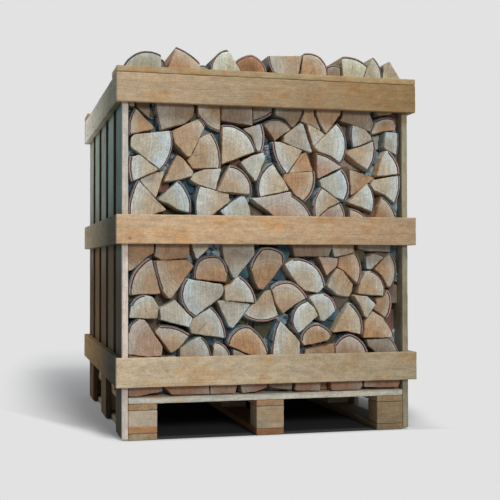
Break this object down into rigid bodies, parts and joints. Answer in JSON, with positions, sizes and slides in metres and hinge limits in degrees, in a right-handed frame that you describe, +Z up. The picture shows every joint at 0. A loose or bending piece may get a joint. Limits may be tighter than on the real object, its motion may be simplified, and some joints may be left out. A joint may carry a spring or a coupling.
{
  "type": "crate of birch firewood",
  "caption": "Pallet crate of split birch firewood, with board walls left and right and belts of boards round it, for storing and moving logs.",
  "frame": {"origin": "on the floor under the middle of the crate", "axes": "+X to the right and -Y towards the viewer of the open front, +Z up"},
  "size_m": [1.0878, 1.0436, 1.3423],
  "materials": {
    "pallet_wood": "rough-sawn weathered softwood",
    "heartwood": "rough-sawn orange-brown heartwood",
    "side_wood": "rough-sawn softwood, grey in the shade",
    "belt_wood": "planed warm tan softwood with grain and small knots",
    "cap_wood": "sawn yellow-tan softwood",
    "birch_row": "sawn birch ends with a strip of bark, cream to orange",
    "birch_tan": "sawn birch end, tan, with a thin bark",
    "birch_white": "sawn birch end, nearly white, with a thin bark",
    "birch_grey": "sawn birch end, weathered to grey, with a thin bark",
    "birch_orange": "sawn birch end, orange, with a thin bark",
    "birch_brown": "sawn birch end, brown, with a thin bark",
    "birch_bark": "dark rough birch bark",
    "nail_steel": "dull nail heads"
  },
  "bodies": {
    "root": {"belt_front_bottom": "belt_wood", "belt_front_middle": "belt_wood", "belt_front_top": "belt_wood", "belt_left_bottom": "belt_wood", "belt_left_middle": "belt_wood", "belt_left_top": "belt_wood", "belt_rear_bottom": "belt_wood", "belt_rear_middle": "belt_wood", "belt_rear_top": "belt_wood", "belt_right_bottom": "belt_wood", "belt_right_middle": "belt_wood", "belt_right_top": "belt_wood", "block_left_front": "pallet_wood", "block_left_middle": "pallet_wood", "block_left_rear": "pallet_wood", "block_middle_front": "pallet_wood", "block_middle_middle": "pallet_wood", "block_middle_rear": "pallet_wood", "block_right_front": "pallet_wood", "block_right_middle": "pallet_wood", "block_right_rear": "pallet_wood", "cap_front": "cap_wood", "cap_rear": "cap_wood", "deck_board_1": "pallet_wood", "deck_board_2": "pallet_wood", "deck_board_3": "pallet_wood", "deck_board_4": "pallet_wood", "deck_board_5": "pallet_wood", "deck_board_6": "pallet_wood", "firewood_row_front": "birch_row", "firewood_row_middle": "birch_row", "firewood_row_rear": "birch_row", "runner_left": "pallet_wood", "runner_middle": "heartwood", "runner_right": "pallet_wood", "side_board_left_1": "side_wood", "side_board_left_2": "side_wood", "side_board_left_3": "side_wood", "side_board_left_4": "side_wood", "side_board_left_5": "side_wood", "side_board_right_1": "side_wood", "side_board_right_2": "side_wood", "side_board_right_3": "side_wood", "side_board_right_4": "side_wood", "side_board_right_5": "side_wood", "stringer_left": "pallet_wood", "stringer_middle": "heartwood", "stringer_right": "pallet_wood", "top_log_01": "birch_grey", "top_log_02": "birch_bark", "top_log_03": "birch_tan", "top_log_04": "birch_brown", "top_log_05": "birch_white", "top_log_06": "birch_orange", "top_log_07": "birch_tan", "top_log_08": "birch_tan", "top_log_09": "birch_brown", "top_log_10": "birch_white", "top_log_11": "birch_grey", "top_log_12": "birch_grey"}
  },
  "joints": []
}
